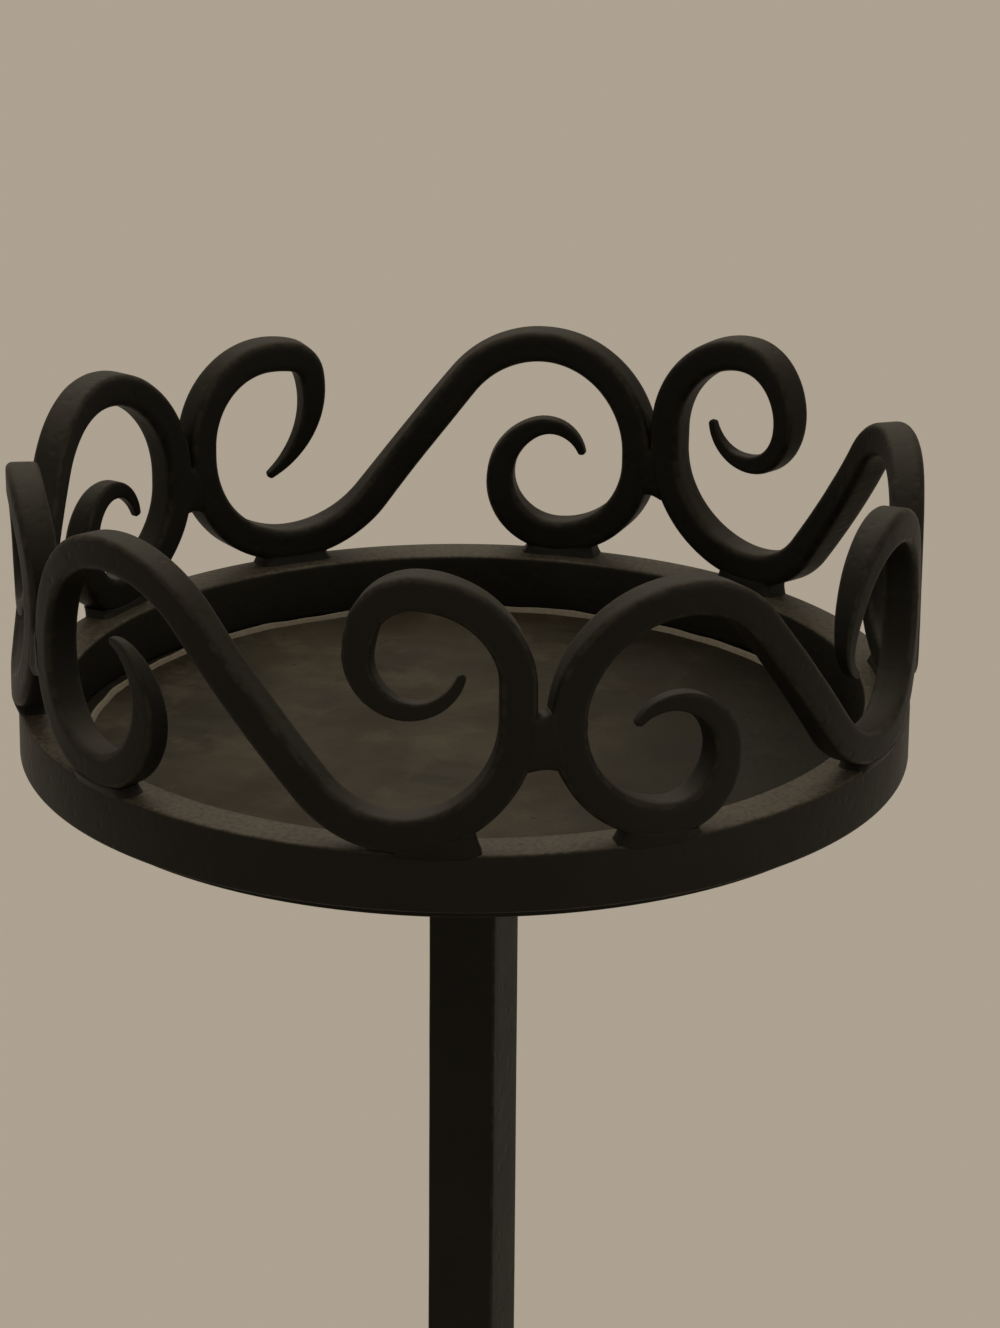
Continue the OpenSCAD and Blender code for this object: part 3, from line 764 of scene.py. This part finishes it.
# Of each scroll: how far its weld to the next is turned, the gap there, how far it stands
# higher, and how far it leans, in degrees.
DRIFT = [1.2, 0.1, -1.2, -2.5, 1.1]
SIDE_GAP = [0, 0, 0, 0, 3]
LIFT = [0, 0.5, 0, 0, -0.3]
LEAN = [0.5, -1, -0.1, -0.6, 0]
# Of each scroll's ends: what its arch and its belly add to the common radius, the straight
# between them, and the arcs of its curl.
LOWER_END = [[-2, 0.8, 0, [[16, 175], [12.5, 62]]],
    [-1.9, -1, 3, [[17.5, 163], [12, 132]]],
    [-2.4, -2, 2.8, [[17.7, 155], [11, 104]]],
    [0.5, -1.8, 2.9, [[16.6, 120], [14, 140]]],
    [2.1, -1.5, 0.3, [[19.5, 150], [8, 45]]]]
UPPER_END = [[-1, -1.5, 0, [[22, 60], [36, 25], [11, 78]]],
    [-2, -0.4, 5.6, [[16.9, 190], [12.5, 73]]],
    [-0.5, -3.7, 2.6, [[33, 14], [8.5, 62], [28, 76]]],
    [-0.5, -0.8, 0, [[18.5, 163], [12, 132]]],
    [-2.5, -2, 9.5, [[14.5, 78], [60, 5], [14.7, 72], [13.5, 102]]]]

crown_r = HOOP_R + CROWN_PROUD - BAR / 2
crown_half = math.pi * crown_r / SCROLLS - BAR / 2
arch_r = crown_half / 2 - WAIST ** 2 / (8 * crown_half)
crown_mid = HOOP_TOP + FOOT_GAP + BAR / 2 + (arch_r + BELLY_R) / 2
crown_foot = -(arch_r + BELLY_R) / 2
per_mm = 180 / math.pi / crown_r


def meets(k):
    """Angle round the post at which scroll k meets the next one."""
    return CROWN_TURN + 360 / SCROLLS * k + DRIFT[k]


def scroll_form(k):
    """The flat middle line of scroll k: where it stands, the place and radius of its two feet,
    and the poses and shares of its lower and its upper end."""
    before = (k - 1) % SCROLLS
    start = meets(before) - (360 if k == 0 else 0) + SIDE_GAP[before] / 2 * per_mm
    stop = meets(k) - SIDE_GAP[k] / 2 * per_mm
    half = (stop - start) / 2 / per_mm - BAR / 2 + TOUCH
    ends = {side: (arch_r + arch, BELLY_R + belly, level, tail)
        for side, (arch, belly, level, tail) in (("low", LOWER_END[k]), ("up", UPPER_END[k]))}
    low_arch_r, low_belly_r, low_level = ends["low"][:3]
    up_arch_r = ends["up"][0]
    low_arch = Vector((low_arch_r - half, crown_foot + low_level + low_belly_r))
    up_arch = Vector((half - up_arch_r, crown_foot + up_arch_r))
    reach = up_arch - low_arch
    both = low_arch_r + up_arch_r
    slope = math.asin(both / reach.length) - math.atan2(reach.y, reach.x)
    straight = math.sqrt(reach.length ** 2 - both ** 2)
    centre = low_arch + low_arch_r * Vector((math.sin(slope), math.cos(slope))) \
        + straight / 2 * Vector((math.cos(slope), -math.sin(slope)))
    made = {"turn": (start + stop) / 2,
        "feet": ((low_belly_r - half, low_belly_r + BAR / 2), (up_arch.x, up_arch_r + BAR / 2))}
    for side, heading in (("low", math.pi - slope), ("up", -slope)):
        arch, belly, level, tail = ends[side]
        arcs = [[0, straight / 2], [arch, math.degrees(slope) + 90], [0, level], [belly, 90]]
        poses = follow(arcs + tail, [centre.x, centre.y, heading, 0.0], SCROLL_STEP)
        poses = tip_steps(poses, BLUNT)
        stretch = arcs_length(tail) - LATE_DRAW[side]
        made[side] = (poses, drawn_out(poses, stretch, TIP_SHARE, TAPER, BLUNT))
    return made


scroll_tree = Shapes("forged scroll", [("Bar side", "Float"), ("Edge softening", "Float"),
    ("Bend radius", "Float"), ("Turn", "Float"), ("Lean", "Float"), ("Middle of tray", "Vector"),
    ("Hammering", "Float"), ("Seed", "Float"), ("Paint", "Material")])
flat_bar = forged_bar(scroll_tree, scroll_tree.read("Geometry"))
to, read = scroll_tree.maths, scroll_tree.read
x, y, z = scroll_tree.parts(scroll_tree.node("GeometryNodeInputPosition"))
cos_lean, sin_lean = to("COSINE", read("Lean")), to("SINE", read("Lean"))
across = to("ADD", to("MULTIPLY", x, cos_lean), to("MULTIPLY", z, sin_lean))
upward = to("SUBTRACT", to("MULTIPLY", z, cos_lean), to("MULTIPLY", x, sin_lean))
angle = to("ADD", read("Turn"), to("DIVIDE", across, read("Bend radius")))
radius = to("ADD", read("Bend radius"), y)
place = scroll_tree.node("ShaderNodeCombineXYZ", None, Z=upward,
    X=to("MULTIPLY", radius, to("COSINE", angle)), Y=to("MULTIPLY", radius, to("SINE", angle)))
place = scroll_tree.vector("ADD", place, read("Middle of tray"))
bent_bar = scroll_tree.node("GeometryNodeSetPosition", None, Geometry=flat_bar, Position=place)
scroll_tree.finish(bent_bar, read("Paint"))

forms = [scroll_form(k) for k in range(SCROLLS)]
for k, form in enumerate(forms):
    line = bar_line("scroll_line", *form["low"], *form["up"])
    scroll = scroll_tree.make(f"forged_scroll_{k + 1}", line,
        Bar_side=BAR * MM, Edge_softening=BAR_EDGE * MM, Bend_radius=crown_r * MM,
        Turn=math.radians(form["turn"]), Lean=math.radians(LEAN[k]),
        Middle_of_tray=(tray + Vector((0, 0, crown_mid + LIFT[k]))) * MM,
        Hammering=SCROLL_HAMMERING * MM, Seed=3.1 * k + 20.0, Paint=PAINT)
    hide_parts(f"crown_scroll_{k + 1}")
    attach(scroll, "stand")

# ---- Crown welds ----
# Each scroll is welded to the hoop under its two bellies, and to its neighbours at half
# height. The beads were left as they ran, flow out onto the bars' faces and are painted over.

FOOT_WELD_L, FOOT_WELD_W, WELD_BITE = 25.0, 9.0, 0.4
# How far out a foot weld reaches on its outer and its inner side, at the hoop and at the bar.
FOOT_OUTER, FOOT_INNER = (3.0, 4.85), (5.6, 4.7)
SIDE_WELD_H, SIDE_WELD_W, SIDE_WELD_DROP = 17.0, 9.6, 7.0
# Of each scroll, how far its two foot welds lie along from its bellies' lowest points.
WELD_OFF = [(-3, 0), (0, 0), (-1.5, 0), (0, 0), (0, 9.5)]
WELD_LEVELS, WELD_POINTS = 13, 64
# How far the ends of a bead slant in, how hollow they are, and how lumpy the bead is.
FOOT_BEAD, SIDE_BEAD = (1.8, 0.4, 0.15), (0.0, 1.1, 0.25)
BEAD_SQUARENESS, BEAD_SIDE_HOLLOW, BEAD_END_LUMPS = 0.4, 0.2, 2
LUMPS, SMALL_LUMPS, SMALL_LUMPS_SHARE = 1.9, 5, 0.3


def away(radius, distance):
    """How far a round side falls away at a distance from where it is nearest."""
    return radius - math.sqrt(radius ** 2 - distance ** 2)


def corner(distance, flat, softening):
    """How far a softened edge falls away past the flat part of a face."""
    return away(softening, min(softening * NEARLY_ALL, max(0.0, distance - flat)))


def bar_corner(out):
    """How far a scroll's face falls away at a distance from the scroll's middle line."""
    return corner(abs(out), BAR / 2 - BAR_EDGE, BAR_EDGE)


def round_hoop(turn, side, out, height):
    """A point at a sideways distance from a place on the hoop, out from the middle line of the
    scrolls."""
    angle = math.radians(turn) + side / crown_r
    reach = crown_r + out
    return tray + Vector((reach * math.cos(angle), reach * math.sin(angle), height))


def bead(place, long_half, wide_half, form, seed):
    """One weld as levels of a soft-cornered outline. Its ends slant inwards on the way over, and
    are hollow in the middle. place gives the point for (along, across, share of the way over)."""
    slant, dip, lumpy = form
    levels = []
    for i in range(WELD_LEVELS):
        over = i / (WELD_LEVELS - 1)
        hollow = dip * (1 - (2 * over - 1) ** 2)
        level = []
        for j in range(WELD_POINTS):
            turn = 2 * math.pi * j / WELD_POINTS
            c, s = math.cos(turn), math.sin(turn)
            big = noise.noise(Vector((c * LUMPS, s * LUMPS, over + seed)))
            small = noise.noise(Vector((c * SMALL_LUMPS, s * SMALL_LUMPS, over * 2 + seed)))
            lump = lumpy * (big + SMALL_LUMPS_SHARE * small)
            along_it = long_half - slant * over - hollow + BEAD_END_LUMPS * lump
            across_it = wide_half - BEAD_SIDE_HOLLOW * hollow + lump
            level.append((place(along_it * math.copysign(abs(c) ** BEAD_SQUARENESS, c),
                across_it * math.copysign(abs(s) ** BEAD_SQUARENESS, s), over), 0.0))
        levels.append(level)
    return stacked(levels, True)


def joined(shapes):
    """Points, marks and faces of several shapes as one."""
    points, marks, faces = [], [], []
    for p, m, f in shapes:
        faces += [tuple(i + len(points) for i in face) for face in f]
        points += p
        marks += m
    return points, marks, faces


beads = []
for k, form in enumerate(forms):
    for (x, under_r), off in zip(form["feet"], WELD_OFF[k]):
        gap = FOOT_GAP + LIFT[k] - x * math.sin(math.radians(LEAN[k]))
        turn = form["turn"] + x * per_mm

        def under_belly(side, out, over, turn=turn, gap=gap, under_r=under_r, off=off):
            reach = FOOT_OUTER if out > 0 else FOOT_INNER
            out *= (reach[0] + (reach[1] - reach[0]) * over) / (FOOT_WELD_W / 2)
            low = -WELD_BITE - corner(crown_r + out, HOOP_R - HOOP_EDGE, HOOP_EDGE)
            high = gap + away(under_r, abs(side + off)) + WELD_BITE + bar_corner(out)
            return round_hoop(turn, side + off, out, HOOP_TOP + low + over * (high - low))

        beads.append(bead(under_belly, FOOT_WELD_L / 2, FOOT_WELD_W / 2, FOOT_BEAD,
            len(beads) * 1.7))
foot_welds = solid("foot_weld_beads", *joined(beads), PAINT)
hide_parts("crown_foot_welds")
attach(foot_welds, "stand")

beads = []
side_r = (arch_r + BELLY_R + BAR) / 2
for k in range(SCROLLS):
    after = (k + 1) % SCROLLS
    up, low = UPPER_END[k], LOWER_END[after]
    height = crown_mid + crown_foot + (LIFT[k] + LIFT[after]) / 2 \
        + (arch_r + up[0] + up[2] / 2 + BELLY_R + low[1] + low[2] / 2) / 2

    def between(rise, out, over, turn=meets(k), height=height, gap=SIDE_GAP[k]):
        half = gap / 2 + away(side_r, abs(rise - SIDE_WELD_DROP)) + WELD_BITE + bar_corner(out)
        return round_hoop(turn, (2 * over - 1) * half, out, height + rise - SIDE_WELD_DROP)

    beads.append(bead(between, SIDE_WELD_H / 2, SIDE_WELD_W / 2, SIDE_BEAD, 40 + k * 1.3))
side_welds = solid("side_weld_beads", *joined(beads), PAINT)
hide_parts("crown_side_welds")
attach(side_welds, "stand")

# ---- Studio ----
# A pale floor that runs out into a pale background, a large soft lamp above, weaker ones
# behind and to the right, and the camera where the photograph was taken from.

BACK_COLOUR, ROOM_LIGHT = (0.42, 0.362, 0.284, 1), (0.50, 0.44, 0.348, 1)
FLOOR_COLOUR, FLOOR_REFLECTED = (0.46, 0.42, 0.36, 1), (0.12, 0.11, 0.10, 1)
FLOOR_REACH, FADE_FROM, FADE_TO = 12.0, 0.7, 1.25
LAMP_COLOUR = (1.0, 0.92, 0.76)
# Each lamp's place, the height of the point over the origin that it looks at, size and power.
LAMPS = {"top_lamp": ((-0.3, 0.5, 2.9), 0.9, 1.8, 19),
    "back_lamp": ((-0.9, 1.7, 2.6), 0.9, 2.0, 10),
    "right_lamp": ((2.4, -0.5, 1.5), 0.8, 1.4, 3.8)}
CAMERA_AT, CAMERA_LOOKS = (0.4582, -1.2055, 1.4418), 110.5
CAMERA_PITCH, CAMERA_ROLL = 20.22, 0.45
CAMERA_LENS, CAMERA_SENSOR, CAMERA_NEAR, CAMERA_FAR = 130.65, 36.0, 0.05, 60.0


def seen_rays(shade):
    """1 for what the camera sees, straight or in a shiny or clear surface, and 0 for soft light."""
    path = shade.node("ShaderNodeLightPath")
    straight, shiny, clear = (shade.out(path, f"Is {kind} Ray")
        for kind in ("Camera", "Glossy", "Transmission"))
    return straight.most(shiny).most(clear)


def floor_finish():
    """Matt pale floor that takes the object's shadow, and runs out into the background."""
    made = Finish("pale_floor")
    far = made.at.out(made.at.node("ShaderNodeVectorMath", {"operation": "LENGTH"}, n0=made.at),
        "Value")
    seen = seen_rays(made.at)
    fade = seen * far.rise(FADE_FROM, FADE_TO)
    made.set(Base_Color=seen.mix(FLOOR_REFLECTED, FLOOR_COLOUR), Roughness=0.9,
        Specular_IOR_Level=0.1)
    glow = made.at.node("ShaderNodeEmission", None, Color=BACK_COLOUR, Strength=1.0)
    both = made.at.node("ShaderNodeMixShader", None, n0=fade, n1=made.shader.outputs[0],
        n2=glow.outputs[0])
    output = next(n for n in made.tree.nodes if n.type == "OUTPUT_MATERIAL")
    feed(made.tree, output, {"Surface": both.outputs[0]})
    return made.material


floor_mesh = bpy.data.meshes.new("floor")
floor_mesh.from_pydata([(x * FLOOR_REACH, y * FLOOR_REACH, 0.0)
    for x, y in ((-1, -1), (1, -1), (1, 1), (-1, 1))], [], [(0, 1, 2, 3)])
floor_mesh.materials.append(floor_finish())
floor = bpy.data.objects.new("floor", floor_mesh)
bpy.context.scene.collection.objects.link(floor)

world = bpy.data.worlds.new("studio")
world.use_nodes = True
bpy.context.scene.world = world
background = next(n for n in world.node_tree.nodes if n.type == "BACKGROUND")
sky = seen_rays(Shade(world.node_tree, None)).mix(ROOM_LIGHT, BACK_COLOUR)
feed(world.node_tree, background, {"Color": sky, "Strength": 1.0})

for name, (place, aim_height, size, power) in LAMPS.items():
    light = bpy.data.lights.new(name, "AREA")
    light.shape, light.size, light.energy, light.color = "SQUARE", size, power, LAMP_COLOUR
    lamp = bpy.data.objects.new(name, light)
    lamp.location = place
    facing = Vector((0, 0, aim_height)) - Vector(place)
    lamp.rotation_euler = facing.to_track_quat("-Z", "Y").to_euler()
    bpy.context.scene.collection.objects.link(lamp)

camera_data = bpy.data.cameras.new("camera")
camera_data.sensor_width, camera_data.lens = CAMERA_SENSOR, CAMERA_LENS
camera_data.clip_start, camera_data.clip_end = CAMERA_NEAR, CAMERA_FAR
camera = bpy.data.objects.new("camera", camera_data)
looks, pitch = math.radians(CAMERA_LOOKS), math.radians(CAMERA_PITCH)
ahead = Vector((math.cos(looks) * math.cos(pitch), math.sin(looks) * math.cos(pitch),
    -math.sin(pitch)))
facing = ahead.to_track_quat("-Z", "Y").to_matrix() \
    @ Matrix.Rotation(math.radians(CAMERA_ROLL), 3, "Z")
camera.matrix_world = Matrix.Translation(CAMERA_AT) @ facing.to_4x4()
bpy.context.scene.collection.objects.link(camera)
bpy.context.scene.camera = camera
bpy.context.scene.view_settings.view_transform = "Standard"

bpy.context.view_layer.update()
